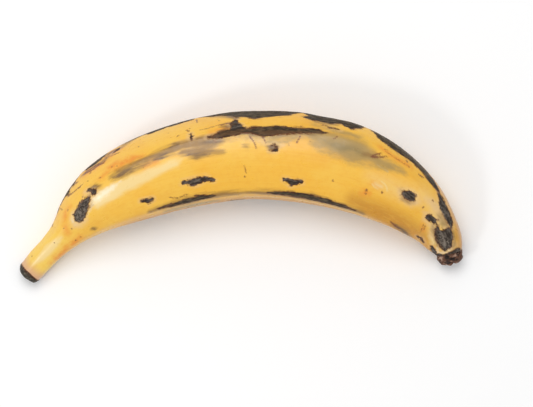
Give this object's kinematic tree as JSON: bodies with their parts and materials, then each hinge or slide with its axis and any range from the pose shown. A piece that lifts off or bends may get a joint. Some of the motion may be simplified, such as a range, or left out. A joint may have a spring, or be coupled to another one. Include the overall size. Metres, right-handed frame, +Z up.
{
  "type": "plantain",
  "caption": "Whole ripe plantain, arched and softly ridged, with its stem stalk and dried flower tip, lying on its flank.",
  "frame": {"origin": "middle of the underside of the box round the fruit as it lies on a flat surface", "axes": "+X from the stem to the flower tip, +Y to the convex side of the arch, +Z up"},
  "size_m": [0.2684, 0.1024, 0.0514],
  "materials": {
    "peel": "satin, with dark brown ripening marks",
    "dried_end": "matt, rough and dry"
  },
  "bodies": {
    "root": {"plantain": "peel"}
  },
  "joints": []
}
